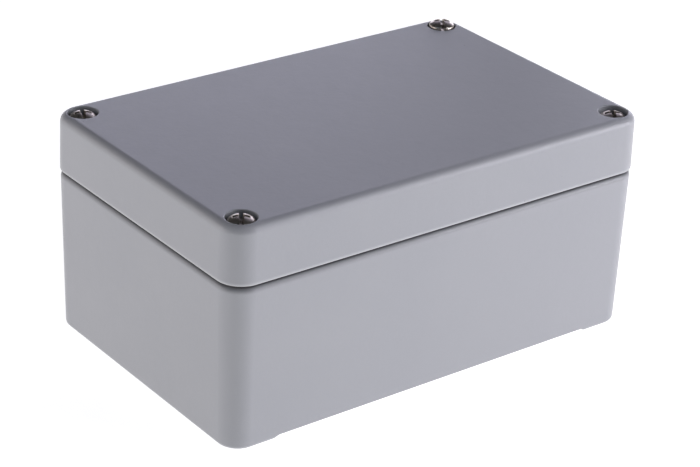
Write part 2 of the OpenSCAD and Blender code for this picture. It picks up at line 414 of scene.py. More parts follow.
def casting_material(name):
    m, nt = new_material(name)
    coords = node(nt, "ShaderNodeTexCoord").outputs["Object"]
    # powder coat: orange peel in two sizes, a little drift in colour, a few specks
    broad = noise(nt, coords, 28, 3, 0.55)
    fine = noise(nt, coords, 2600, 2, 0.5)
    base = mix_rgb(nt, mapr(nt, broad, 0.3, 0.7, 0, 1, True),
                   (PAINT[0] * 0.985, PAINT[1] * 0.985, PAINT[2] * 0.99, 1), (PAINT[0] * 1.015, PAINT[1] * 1.012, PAINT[2] * 1.01, 1))
    base = mix_rgb(nt, mapr(nt, fine, 0.35, 0.65, 0.0, 0.06), base, (0.5, 0.5, 0.52, 1))
    specks = node(nt, "ShaderNodeTexVoronoi", feature="F1")
    specks.inputs["Scale"].default_value = 170
    link(nt, coords, specks.inputs["Vector"])
    near = mapr(nt, specks.outputs["Distance"], 0.022, 0.040, 1, 0, True)
    pick = node(nt, "ShaderNodeSeparateColor")
    link(nt, specks.outputs["Color"], pick.inputs["Color"])
    chosen = mathn(nt, "GREATER_THAN", pick.outputs["Red"], 0.90)
    speck = mathn(nt, "MULTIPLY", near, chosen)
    tone = mix_rgb(nt, mathn(nt, "GREATER_THAN", pick.outputs["Green"], 0.6), (0.10, 0.10, 0.11, 1), (0.62, 0.62, 0.64, 1))
    base = mix_rgb(nt, mathn(nt, "MULTIPLY", speck, 0.55), base, tone)
    peel = noise(nt, coords, 720, 2.5, 0.55, 0.15)
    peel_b = noise(nt, coords, 210, 2, 0.5)
    peel_all = mathn(nt, "ADD", mathn(nt, "MULTIPLY", peel, 1.0), mathn(nt, "MULTIPLY", peel_b, 1.6))
    paint = node(nt, "ShaderNodeBsdfPrincipled")
    # painted shade: the tone attribute darkens the seam between lid and base; painted highlight: it lightens the
    # lid's lower lip
    tone = node(nt, "ShaderNodeAttribute", attribute_name="tone").outputs["Fac"]
    # painted shade, towards black where tone falls below 1
    base = mix_rgb(nt, mapr(nt, tone, 1.0, 0.0, 0.0, 1.0), base, (0.0, 0.0, 0.0, 1))
    # painted highlight, towards white where tone rises above 1
    base = mix_rgb(nt, mapr(nt, tone, 1.0, 2.0, 0.0, 1.0), base, (0.95, 0.95, 0.97, 1))
    link(nt, base, paint.inputs["Base Color"])
    paint.inputs["IOR"].default_value = 1.5
    link(nt, mapr(nt, noise(nt, coords, 400, 3, 0.6), 0.3, 0.7, 0.33, 0.41), paint.inputs["Roughness"])
    n1 = bump(nt, peel_all, 0.00005, 0.6)
    link(nt, bump(nt, fine, 0.000006, 0.5, n1), paint.inputs["Normal"])
    # bare casting: blasted grain, flow marks
    raw = node(nt, "ShaderNodeBsdfPrincipled")
    flow = node(nt, "ShaderNodeMapping")
    flow.inputs["Scale"].default_value = (1.0, 1.0, 0.28)
    link(nt, coords, flow.inputs["Vector"])
    marks = noise(nt, flow.outputs["Vector"], 140, 5, 0.62, 0.9)
    grain = noise(nt, coords, 3400, 2, 0.6)
    tint = mix_rgb(nt, mapr(nt, marks, 0.32, 0.68, 0, 1, True), (0.60, 0.60, 0.59, 1), (0.76, 0.76, 0.75, 1))
    tint = mix_rgb(nt, mapr(nt, noise(nt, coords, 45, 4, 0.6), 0.5, 0.75, 0, 0.35, True), tint, (0.55, 0.54, 0.52, 1))
    link(nt, tint, raw.inputs["Base Color"])
    raw.inputs["Metallic"].default_value = 0.92
    link(nt, mapr(nt, marks, 0.3, 0.7, 0.44, 0.60), raw.inputs["Roughness"])
    n2 = bump(nt, grain, 0.00001, 0.7)
    link(nt, bump(nt, marks, 0.00002, 0.5, n2), raw.inputs["Normal"])
    # overspray: the coat ends in a soft, speckled edge
    at = node(nt, "ShaderNodeAttribute", attribute_name="coat")
    edge = mathn(nt, "ADD", at.outputs["Fac"], mathn(nt, "MULTIPLY", mathn(nt, "SUBTRACT", noise(nt, coords, 900, 4, 0.7), 0.5), 0.55))
    edge = mathn(nt, "ADD", edge, mathn(nt, "MULTIPLY", mathn(nt, "SUBTRACT", noise(nt, coords, 60, 3, 0.6), 0.5), 0.35))
    fac = mapr(nt, edge, 0.42, 0.58, 0, 1, True)
    # fully coated and fully bare places stay so
    fac = mathn(nt, "MAXIMUM", fac, mathn(nt, "GREATER_THAN", at.outputs["Fac"], 0.97))
    fac = mathn(nt, "MULTIPLY", fac, mathn(nt, "GREATER_THAN", at.outputs["Fac"], 0.03))
    mixer = node(nt, "ShaderNodeMixShader")
    link(nt, fac, mixer.inputs["Fac"])
    link(nt, raw.outputs[0], mixer.inputs[1])
    link(nt, paint.outputs[0], mixer.inputs[2])
    out = node(nt, "ShaderNodeOutputMaterial")
    link(nt, mixer.outputs[0], out.inputs["Surface"])
    return m


def turned_metal(name, color, rough, lo=0.9):
    """Turned metal: fine rings round the piece's own middle, small handling marks."""
    m, nt = new_material(name)
    tc = node(nt, "ShaderNodeTexCoord")
    coords = tc.outputs["Object"]
    sep = node(nt, "ShaderNodeSeparateXYZ")
    link(nt, tc.outputs["Generated"], sep.inputs["Vector"])
    dx = mathn(nt, "SUBTRACT", sep.outputs["X"], 0.5)
    dy = mathn(nt, "SUBTRACT", sep.outputs["Y"], 0.5)
    rad = mathn(nt, "SQRT", mathn(nt, "ADD", mathn(nt, "MULTIPLY", dx, dx), mathn(nt, "MULTIPLY", dy, dy)))
    rings = node(nt, "ShaderNodeTexNoise", noise_dimensions="1D")
    rings.inputs["Scale"].default_value = 130
    rings.inputs["Detail"].default_value = 3
    link(nt, rad, rings.inputs["W"])
    blotch = noise(nt, coords, 900, 4, 0.6)
    tone = mix_rgb(nt, mapr(nt, blotch, 0.35, 0.65, 0, 1, True),
                   tuple(c * lo for c in color) + (1,), tuple(color) + (1,))
    p = node(nt, "ShaderNodeBsdfPrincipled")
    link(nt, tone, p.inputs["Base Color"])
    p.inputs["Metallic"].default_value = 1.0
    link(nt, mapr(nt, blotch, 0.3, 0.7, rough * 0.85, rough * 1.2), p.inputs["Roughness"])
    n1 = bump(nt, rings.outputs["Fac"], 0.000006, 0.6)
    scratches = noise(nt, coords, 5200, 2, 0.6)
    link(nt, bump(nt, scratches, 0.000002, 0.5, n1), p.inputs["Normal"])
    out = node(nt, "ShaderNodeOutputMaterial")
    link(nt, p.outputs[0], out.inputs["Surface"])
    return m


def zinc_material():
    """Yellow chromate on zinc: straw to faint green and violet drift."""
    m, nt = new_material("yellow_zinc")
    coords = node(nt, "ShaderNodeTexCoord").outputs["Object"]
    drift = noise(nt, coords, 420, 4, 0.6, 0.6)
    col = ramp(nt, drift, [(0.30, (0.62, 0.60, 0.30, 1)), (0.45, (0.78, 0.66, 0.32, 1)), (0.60, (0.82, 0.62, 0.36, 1)), (0.74, (0.70, 0.55, 0.46, 1))])
    p = node(nt, "ShaderNodeBsdfPrincipled")
    link(nt, col, p.inputs["Base Color"])
    p.inputs["Metallic"].default_value = 1.0
    link(nt, mapr(nt, noise(nt, coords, 1600, 3, 0.6), 0.3, 0.7, 0.24, 0.38), p.inputs["Roughness"])
    link(nt, bump(nt, noise(nt, coords, 4200, 3, 0.6), 0.000004, 0.6), p.inputs["Normal"])
    out = node(nt, "ShaderNodeOutputMaterial")
    link(nt, p.outputs[0], out.inputs["Surface"])
    return m


def rubber_material():
    m, nt = new_material("seal_rubber")
    coords = node(nt, "ShaderNodeTexCoord").outputs["Object"]
    dust = noise(nt, coords, 300, 5, 0.65)
    p = node(nt, "ShaderNodeBsdfPrincipled")
    link(nt, mix_rgb(nt, mapr(nt, dust, 0.45, 0.75, 0, 1, True), (0.016, 0.016, 0.017, 1), (0.05, 0.049, 0.048, 1)), p.inputs["Base Color"])
    link(nt, mapr(nt, dust, 0.3, 0.7, 0.55, 0.8), p.inputs["Roughness"])
    link(nt, bump(nt, noise(nt, coords, 2400, 3, 0.6), 0.00001, 0.6), p.inputs["Normal"])
    out = node(nt, "ShaderNodeOutputMaterial")
    link(nt, p.outputs[0], out.inputs["Surface"])
    return m


def nylon_material():
    m, nt = new_material("clear_nylon")
    coords = node(nt, "ShaderNodeTexCoord").outputs["Object"]
    cloud = noise(nt, coords, 700, 3, 0.6)
    p = node(nt, "ShaderNodeBsdfPrincipled")
    link(nt, mix_rgb(nt, mapr(nt, cloud, 0.35, 0.7, 0, 1, True), (0.70, 0.68, 0.61, 1), (0.80, 0.79, 0.74, 1)), p.inputs["Base Color"])
    link(nt, mapr(nt, cloud, 0.3, 0.7, 0.32, 0.45), p.inputs["Roughness"])
    p.inputs["Subsurface Weight"].default_value = 0.25
    p.inputs["Subsurface Radius"].default_value = (0.001, 0.0009, 0.0007)
    p.inputs["Subsurface Scale"].default_value = 1.0
    link(nt, bump(nt, noise(nt, coords, 3000, 3, 0.6), 0.000004, 0.6), p.inputs["Normal"])
    out = node(nt, "ShaderNodeOutputMaterial")
    link(nt, p.outputs[0], out.inputs["Surface"])
    return m


CAST = casting_material("powder_coated_casting")
STEEL = turned_metal("stainless_steel", (0.50, 0.455, 0.41), 0.30)
ZINC = zinc_material()
RUBBER = rubber_material()
NYLON = nylon_material()

SEAL = seal_line()


# ---- lid ------------------------------------------------------------------------

def lid_inset(z):
    return (z - EDGE) * T


LR = 2.2                               # rounding of the lid's top edge
ZR = TOP - LR
IN0 = lid_inset(ZR)                    # wall's inset where the rounding starts
CX, CY = HX - R, HY - R                # middle of the corner arcs


def lid_top(x, y):
    """Height and normal of the lid's top, rounding included."""
    ax, ay = abs(x), abs(y)
    qx, qy = ax - CX, ay - CY
    rr = R - IN0
    if qx > 0 and qy > 0:
        d, gx, gy = math.hypot(qx, qy), qx, qy
    elif qx > qy:
        d, gx, gy = qx, 1.0, 0.0
    else:
        d, gx, gy = qy, 0.0, 1.0
    d -= rr - LR
    if d <= 0:
        return TOP, (0.0, 0.0, 1.0)
    g = math.hypot(gx, gy)
    s = min(d / LR, 0.999)
    c = math.sqrt(1 - s * s)
    return ZR + LR * c, (math.copysign(s * gx / g, x), math.copysign(s * gy / g, y), c)


def build_lid():
    s = Shell()
    line = rounded_rect(HX, HY, R, 16, 3.0)
    # outer wall, from the lower edge up to 62 degrees of the top rounding
    # the sixth value in these rows is tone: painted shade under the lower edge, painted highlight along the lip above
    # it
    prof = [(-0.28, EDGE, 0, -1, 1, 0.5), (-0.20, EDGE + 0.02, 0.3, -0.95, 1, 1.2), (-0.10, EDGE + 0.07, 0.6, -0.8, 1, 1.5), (-0.03, EDGE + 0.16, 0.87, -0.5, 1, 1.5), (0.0 - lid_inset(EDGE + 0.3), EDGE + 0.30, 1, 0, 1, 1.25)]
    n_wall = (math.cos(math.radians(0.95)), math.sin(math.radians(0.95)))
    for z in (EDGE + 0.9, 47.0, 50.5, 54.0, ZR - 0.7):
        prof.append((-lid_inset(z), z, *n_wall))
    angles = [1.0] + [i * 6.2 for i in range(1, 11)]
    for a in angles:
        t = math.radians(a)
        prof.append((-IN0 - LR * (1 - math.cos(t)), ZR + LR * math.sin(t), math.cos(t), math.sin(t)))
    low, high = s.strip(line, prof)
    # rest of the rounding and the top, with the four screw holes
    holes, cons, pts = [], [], []
    rim_w = 0.26
    for x, y in ((SX, SY), (-SX, SY), (-SX, -SY), (SX, -SY)):
        n = 96
        rows0, rows = [], [[] for _ in range(6)]
        for i in range(n):
            a = 2 * math.pi * i / n
            ca, sa = math.cos(a), math.sin(a)
            r0 = 3.8 + rim_w
            z0, n0 = lid_top(x + ca * r0, y + sa * r0)
            slope = -(n0[0] * ca + n0[1] * sa) / n0[2]          # dz/dr
            rows0.append((x + ca * r0, y + sa * r0, z0, *n0))
            zc = z0 - slope * rim_w
            ze = zc - rim_w
            for k in range(6):
                t = (k + 1) / 6
                b0, b1, b2 = (1 - t) ** 2, 2 * t * (1 - t) * 0.75, t * t
                w = b0 + b1 + b2
                rr = (b0 * r0 + b1 * 3.8 + b2 * 3.8) / w
                zz = (b0 * z0 + b1 * zc + b2 * ze) / w
                # normal between the surface's and the wall's
                th = t * math.pi / 2
                nx = n0[0] * math.cos(th) - ca * math.sin(th)
                ny = n0[1] * math.cos(th) - sa * math.sin(th)
                nz = n0[2] * math.cos(th)
                rows[k].append((x + ca * rr, y + sa * rr, zz, nx, ny, nz))
        loop = s.ring(rows0)
        last = loop
        for row in rows:
            ids = s.ring(row)
            s.join(last, ids)
            last = ids
        holes.append(loop)
        # counterbore wall, fillet and seat, screw hole
        prof = [(3.8, 56.0, -1, 0), (3.8, 54.55, -1, 0, 0.9)] + coated(fillet(3.8, 54.5, 3.5, 54.2, INW, UP, 4), 0.75)
        prof += [(3.0, 54.2, 0, 1, 0.55)] + coated(fillet(2.5, 54.2, 2.25, 53.95, UP, INW, 3), 0.3) + [(2.25, 52.8, -1, 0, 0.0)]
        prof += coated(fillet(2.25, 51.6, 2.45, 51.4, INW, DOWN, 3), 0.0)
        prof += [(3.2, 51.4, 0, -1)] + fillet(3.55, 51.4, 3.8, 51.15, DOWN, INW, 3)
        prof += [(3.8, z, -1, 0) for z in (49.0, 46.5, 44.0)] + fillet(3.8, 43.2, 4.0, 43.0, INW, DOWN, 3)
        prof += [(4.1, 43.0, 0, -1)] + fillet(4.25, 43.0, 4.5, 43.25, DOWN, OUTW, 3)
        prof += [(4.5, 43.32, 1, 0)] + fillet(4.5, 43.4, 4.7, 43.6, OUTW, DOWN, 3)
        prof = [tuple(p[:4]) + ((p[4] if len(p) > 4 else 0.0),) for p in prof]
        prof[0] = prof[0][:4] + (1.0,)
        first, last2 = s.lathe(x, y, prof, 96)
        s.join(last, first)
        holes.append(("pad", last2))
    pads = [h[1] for h in holes if isinstance(h, tuple)]
    holes = [h for h in holes if not isinstance(h, tuple)]
    # inner rings of the rounding, joined along themselves, and rings round the holes
    rings = [high]
    t_last = math.radians(angles[-1])
    for a in (67.0, 71.5, 76.0, 80.5, 85.0, 90.0):
        t = math.radians(a)
        o = -IN0 - LR * (1 - math.cos(t))
        row = []
        for x, y, nx, ny in line:
            px, py = x + nx * o, y + ny * o
            if min(math.hypot(px - sx * SX, py - sy * SY) for sx in (-1, 1) for sy in (-1, 1)) > 3.8 + rim_w + 0.12:
                row.append(len(pts))
                pts.append((px, py))
            else:
                row.append(None)
        for i in range(len(row)):
            j = (i + 1) % len(row)
            if row[i] is not None and row[j] is not None:
                cons.append((("p", row[i]), ("p", row[j])))
    for sx in (-1, 1):
        for sy in (-1, 1):
            for rr, n in ((4.6, 48), (5.4, 32)):
                for i in range(n):
                    a = 2 * math.pi * i / n
                    px, py = sx * SX + rr * math.cos(a), sy * SY + rr * math.sin(a)
                    if lid_top(px, py)[0] >= TOP - 1e-9 and lid_top(px + 0.3 * (1 if px > 0 else -1), py + 0.3 * (1 if py > 0 else -1))[0] >= TOP - 1e-9:
                        pts.append((px, py))
    for x in np.arange(-50, 50.1, 10):
        for y in np.arange(-30, 30.1, 10):
            pts.append((float(x), float(y)))
    s.fill([high] + holes, surf=lid_top, pts=pts, cons=cons)
    # underside: face with pads and hollows, groove, rib and cavity
    pockets = []
    for sx in (-1, 1):
        for sy in (-1, 1):
            pockets.append(pocket(s, sx, sy))
    prof = fillet(1.45, 43.6, 1.3, 43.75, DOWN, INW, 2) + [(1.3, 45.2, -1, 0), (1.3, 46.85, -1, 0)] + fillet(1.3, 46.9, 1.2, 47.0, INW, DOWN, 2)
    prof += [(0.0, 47.0, 0, -1)] + fillet(-1.2, 47.0, -1.3, 46.9, DOWN, OUTW, 2) + [(-1.3, 45.2, 1, 0)] + fillet(-1.3, 43.75, -1.45, 43.6, OUTW, DOWN, 2)
    prof += fillet(-2.55, 43.6, -2.7, 43.75, DOWN, INW, 2) + [(-2.7, 46.0, -1, 0), (-2.7, 50.0, -1, 0)] + fillet(-2.7, 53.9, -4.2, 55.4, INW, DOWN, 6)
    g0, g1 = s.strip(SEAL, [tuple(p) + (0.0,) for p in prof])
    for i in range(len(g0)):
        s.coat[g0[i]] = 0.35
    s.fill([low, g0] + pads + pockets, up=-1, coat=0.0)
    marks = []
    for x, y in ((-36, -22), (36, -22), (36, 22), (-36, 22), (0, 0)):
        a, b = s.lathe(x, y, [(3.1, 55.4, 0, -1, 0.0), (3.0, 55.4, 0.3, -1, 0.0), (2.96, 55.46, 0.7, -0.7, 0.0), (2.9, 55.52, 0, -1, 0.0)], 40)
        s.fill([b], up=-1, coat=0.0)
        marks.append(a)
    s.fill([g1] + marks, up=-1, coat=0.0)
    return s.build("lid_casting", [CAST], "lid", "grey_powder_coat", "lid")


def pocket(s, sx, sy):
    """Hollow in the lid's corner zone beside a screw boss. Returns the loop at its mouth."""
    def f(x, y):
        # rounded box, with the boss taken off smoothly
        bx, by, hx_, hy_, r = 56.325, 27.3, 3.875, 4.05, 1.0
        qx, qy = abs(x - bx) - (hx_ - r), abs(y - by) - (hy_ - r)
        a = math.hypot(max(qx, 0), max(qy, 0)) + min(max(qx, qy), 0) - r
        b = 5.0 - math.hypot(x - SX, y - SY)
        k = 0.9
        h = max(k - abs(a - b), 0) / k
        return max(a, b) + h * h * k * 0.25
    cx, cy = 56.3, 26.2
    n = 88
    levels = {}

    def loop(o):
        if o in levels:
            return levels[o]
        out = []
        for i in range(n):
            a = 2 * math.pi * i / n
            lo, hi = 0.0, 9.0
            for _ in range(34):
                m = (lo + hi) / 2
                if f(cx + m * math.cos(a), cy + m * math.sin(a)) > o:
                    hi = m
                else:
                    lo = m
            x, y = cx + lo * math.cos(a), cy + lo * math.sin(a)
            e = 1e-3
            gx, gy = f(x + e, y) - f(x - e, y), f(x, y + e) - f(x, y - e)
            g = math.hypot(gx, gy)
            out.append((x, y, gx / g, gy / g))
        levels[o] = out
        return out
    prof = fillet(0.12, 43.6, 0.0, 43.72, DOWN, INW, 2) + [(0.0, 46.0, -1, 0), (0.0, 48.0, -1, 0)] + fillet(0.0, 49.5, -0.5, 50.0, INW, DOWN, 4)
    last = first = None
    for o, z, no, nz in prof:
        rows = [(sx * x, sy * y, z, sx * nx * no, sy * ny * no, nz) for x, y, nx, ny in loop(round(o, 4))]
        ids = s.ring(rows, 0.0)
        if last is not None:
            s.join(last, ids)
        first = first or ids
        last = ids
    s.fill([last], up=-1, coat=0.0)
    return first


# ---- base -------------------------------------------------------------------------

def base_inset(z):
    return 0.15 + (RIM - z) * T


SLOPE0, SLOPE1, STEP = 49.3, 47.5, 0.9


def foot(x):
    """Height of the underside over the surface it stands on, and its slope along x."""
    a = abs(x)
    if a >= SLOPE0:
        return 0.0, 0.0
    if a <= SLOPE1:
        return STEP, 0.0
    t = (SLOPE0 - a) / (SLOPE0 - SLOPE1)
    z = STEP * (t * t * (3 - 2 * t))
    dz = -STEP * 6 * t * (1 - t) / (SLOPE0 - SLOPE1) * (1 if x > 0 else -1)
    return z, dz


def underside(x, y):
    z, dz = foot(x)
    k = math.hypot(1, dz)
    return z, (dz / k, 0.0, -1 / k)


def build_base():
    s = Shell()
    marks = [v for t in (0, 0.15, 0.3, 0.45, 0.6, 0.75, 0.9, 1.0) for v in (SLOPE1 + t * 1.8, -(SLOPE1 + t * 1.8))]
    line = rounded_rect(HX, HY, R, 16, 3.0, marks)
    # bottom rounding: 1.2 on the rails, sharper along the gap between them
    rows = []
    for k in range(9):
        t = math.radians(90 - 90 * k / 8)
        row = []
        for x, y, nx, ny in line:
            zb, dz = foot(x)
            rr = 1.2 - 0.75 * zb / STEP
            o = -(base_inset(zb + rr) + rr * (1 - math.cos(t)))
            z = zb + rr * (1 - math.sin(t))
            down = -math.sin(t)
            row.append((x + nx * o, y + ny * o, z, nx * math.cos(t) + (dz * math.sin(t)), ny * math.cos(t), down))
        rows.append(s.ring(row))
        if k:
            s.join(rows[-2], rows[-1])
    n_wall = (math.cos(math.radians(0.95)), -math.sin(math.radians(0.95)))
    prof = [(0, 0, 0, 0)]
    for z in (2.4, 4.0, 8.0, 14.0, 20.0, 26.0, 32.0, 37.0, 40.3, 41.4):
        prof.append((-base_inset(z), z, *n_wall))
    # the rim rounding's tone falls towards its top: painted shade in the seam under the lid's edge
    zr = RIM - 1.5
    for i in range(1, 11):
        t = math.radians(90 * i / 10)
        prof.append((-(base_inset(zr) + 1.15 * (1 - math.cos(t))), zr + 1.5 * math.sin(t),
                     math.cos(t) / 1.15, math.sin(t) / 1.5, 1, 1 - 0.95 * (i / 10) ** 1.1))
    _, rim = s.strip(line, prof, start=rows[-1])
    # tongue, cavity wall and floor fillet
    prof = fillet(0.9, 43.0, 0.7, 43.2, UP, OUTW, 3) + [(0.7, 44.0, 1, 0)] + fillet(0.7, 44.9, 0.4, 45.2, OUTW, UP, 4)
    prof += fillet(-0.4, 45.2, -0.7, 44.9, UP, INW, 4)
    prof = [tuple(p) + (0.12,) for p in prof]
    prof += [(-0.7, z, -1, 0, c) for z, c in ((44.0, 0.1), (42.0, 0.05), (36.0, 0.0), (26.0, 0.0), (16.0, 0.0))]
    prof += coated(fillet(-0.7, 6.2, -2.7, 4.2, INW, UP, 8), 0.0)
    t0, t1 = s.strip(SEAL, prof)
    wells, screws, outs = [], [], []
    for sx in (-1, 1):
        for sy in (-1, 1):
            x, y = sx * WX, sy * WY
            prof = coated(fillet(4.4, 43.0, 4.1, 42.7, UP, INW, 3), 0.45) + [(4.1, 40.0, -1, 0, 0.35), (4.1, 33.0, -1, 0, 0.1), (4.1, 24.0, -1, 0, 0), (4.1, 14.0, -1, 0, 0)]
            prof += coated(fillet(4.1, 6.5, 3.6, 6.0, INW, UP, 4), 0.0) + [(3.1, 6.0, 0, 1, 0.0)]
            prof += coated(fillet(2.65, 6.0, 2.4, 5.75, UP, INW, 3), 0.0) + [(2.4, 3.0, -1, 0, 0.0), (2.4, 1.6, -1, 0, 0.3)]
            prof += coated(fillet(2.4, 0.35, 2.75, 0.0, INW, DOWN, 4), 1.0)
            a, b = s.lathe(x, y, prof, 72)
            wells.append(a)
            outs.append(b)
            # screw hole with thread grooves, cone at its end
            x, y = sx * SX, sy * SY
            prof = [(2.3, 43.0, 0, 1), (2.26, 42.99, -0.3, 1), (2.02, 42.74, -0.8, 0.5)]
            z = 42.6
            while z > 35.4:
                prof += [(2.0, z, -1, 0.1), (2.14, z - 0.22, -0.6, 0.8), (2.16, z - 0.30, -1, 0), (2.14, z - 0.38, -0.6, -0.8), (2.0, z - 0.60, -1, -0.1)]
                z -= 0.7
            prof += [(2.0, 34.9, -1, 0), (1.9, 34.7, -0.6, 0.8), (0.9, 34.32, -0.3, 1), (0.02, 34.2, 0, 1)]
            a, b = s.lathe(x, y, [tuple(p) + (0.0,) for p in prof], 48)
            s.fill([b], up=1, coat=0.0)
            screws.append(a)
    # top face, painted at its outer edge
    for loop in wells:
        for i in loop:
            s.coat[i] = 0.5
    for i in t0:
        s.coat[i] = 0.25
    for loop in screws:
        for i in loop:
            s.coat[i] = 0.0
    # painted shade: the tongue's foot, inside the seam, is darkened through its tone
    for i in t0:
        s.tone[i] = 0.5
    s.fill([rim, t0] + wells + screws, up=1, coat=0.5)
    # underside, with the slopes of the rails laid across
    low = rows[0]
    cross = []
    by = {}
    for i in low:
        x, y, _ = s.co[i]
        if SLOPE1 - 0.01 <= abs(x) <= SLOPE0 + 0.01:
            by.setdefault(round(x, 4), []).append(i)
    for x, pair in by.items():
        if len(pair) == 2:
            cross.append(tuple(pair))
    s.fill([low] + outs, surf=underside, up=-1, cons=cross)
    # floor with plate bosses and earth boss
    rings = []
    for sx in (-1, 1):
        for sy in (-1, 1):
            prof = fillet(4.3, 4.2, 3.5, 5.0, UP, OUTW, 5) + [(3.5, 7.0, 1, 0)] + fillet(3.5, 8.85, 3.15, 9.2, OUTW, UP, 4)
            prof += [(2.4, 9.2, 0, 1)] + fillet(1.9, 9.2, 1.65, 8.95, UP, INW, 3) + [(1.65, 6.0, -1, 0)]
            prof += fillet(1.65, 3.5, 1.35, 3.2, INW, UP, 3)
            a, b = s.lathe(sx * PX, sy * PY, [tuple(p) + (0.0,) for p in prof], 56)
            s.fill([b], up=1, coat=0.0)
            rings.append(a)
    prof = fillet(4.3, 4.2, 3.8, 4.7, UP, OUTW, 4) + [(3.8, 8.0, 1, 0)] + fillet(3.8, 10.7, 3.5, 11.0, OUTW, UP, 4)
    prof += [(2.8, 11.0, 0, 1)] + fillet(2.2, 11.0, 2.0, 10.8, UP, INW, 3) + [(2.0, 8.0, -1, 0)] + fillet(2.0, 4.7, 1.7, 4.4, INW, UP, 3)
    a, b = s.lathe(EX, 0, [tuple(p) + (0.0,) for p in prof], 56)
    s.fill([b], up=1, coat=0.0)
    rings.append(a)
    for x, y in ((-24, 0), (24, 0), (0, -24), (0, 24)):
        a, b = s.lathe(x, y, [(4.1, 4.2, 0, 1), (4.0, 4.2, -0.3, 1), (3.96, 4.14, -0.7, 0.7), (3.9, 4.08, 0, 1)], 44, coat=0.0)
        s.fill([b], up=1, coat=0.0)
        rings.append(a)
    s.fill([t1] + rings, up=1, coat=0.0)
    return s.build("base_casting", [CAST], "base", "grey_powder_coat", "base")


# ---- gasket -------------------------------------------------------------------------

def build_gasket():
    s = Shell()
    prof = fillet(1.2, 46.85, 1.05, 47.0, OUTW, UP, 3) + [(0.0, 47.0, 0, 1)] + fillet(-1.05, 47.0, -1.2, 46.85, UP, INW, 3)
    prof += [(-1.2, 46.2, -1, 0)] + fillet(-1.2, 45.7, -0.75, 45.2, INW, DOWN, 5) + [(0.0, 45.2, 0, -1)] + fillet(0.75, 45.2, 1.2, 45.7, DOWN, OUTW, 5) + [(1.2, 46.3, 1, 0)]
    first, last = s.strip(SEAL, prof, coat=0.0)
    s.join(last, first)
    return s.build("lid_gasket_ring", [RUBBER], "lid", "seal_rubber", "lid_gasket")


# ---- screws, by distance field ---------------------------------------------------------

def smax(a, b, k):
    h = np.maximum(k - np.abs(a - b), 0) / k
    return np.maximum(a, b) + h * h * k * 0.25


def smin(a, b, k):
    return -smax(-a, -b, k)


CORNERS = np.array([(i, j, k) for i in (0, 1) for j in (0, 1) for k in (0, 1)])
EDGES = [(a, b) for a in range(8) for b in range(a + 1, 8) if np.abs(CORNERS[a] - CORNERS[b]).sum() == 1]


def surface(f, lo, hi, h):
    """Closed quad mesh of f = 0, with its points on the surface and their normals."""
    ax = [np.arange(lo[i] - 2 * h + h * 0.21, hi[i] + 2.5 * h, h) for i in range(3)]
    F = f(*np.meshgrid(*ax, indexing="ij"))
    S = F < 0
    n = np.array(F.shape) - 1
    count = np.zeros(n, np.int8)
    for i, j, k in CORNERS:
        count += S[i:i + n[0], j:j + n[1], k:k + n[2]]
    cell = np.argwhere((count > 0) & (count < 8))
    index = np.full(n, -1, np.int64)
    index[tuple(cell.T)] = np.arange(len(cell))
    vals = np.stack([F[tuple((cell + c).T)] for c in CORNERS], 1)
    acc, cnt = np.zeros((len(cell), 3)), np.zeros(len(cell))
    for a, b in EDGES:
        fa, fb = vals[:, a], vals[:, b]
        m = (fa < 0) != (fb < 0)
        t = np.where(m, fa / np.where(m, fa - fb, 1), 0)
        acc += m[:, None] * (CORNERS[a] + t[:, None] * (CORNERS[b] - CORNERS[a]))
        cnt += m
    base = np.array([a[0] for a in ax])
    co = base + h * (cell + acc / cnt[:, None])
    quads = []
    for axis in range(3):
        sl0 = [slice(None)] * 3
        sl1 = [slice(None)] * 3
        sl0[axis], sl1[axis] = slice(0, -1), slice(1, None)
        e = np.argwhere(S[tuple(sl0)] != S[tuple(sl1)])
        u, v = [i for i in range(3) if i != axis]
        ring = []
        for du, dv in ((0, 0), (-1, 0), (-1, -1), (0, -1)):
            c = e.copy()
            c[:, u] += du
            c[:, v] += dv
            ring.append(index[tuple(c.T)])
        quads.append(np.stack(ring, 1))
    quads = np.concatenate(quads)

    def grad(p):
        e = h * 0.15
        return np.stack([(f(*(p + d).T) - f(*(p - d).T)) / (2 * e) for d in np.eye(3) * e], 1)
    for _ in range(4):
        g = grad(co)
        step = f(*co.T)[:, None] * g / np.maximum((g * g).sum(1), 0.2)[:, None]
        length = np.linalg.norm(step, axis=1)[:, None]
        co = co - step * np.minimum(1, 0.6 * h / np.maximum(length, 1e-12))
    return co, grad(co), quads


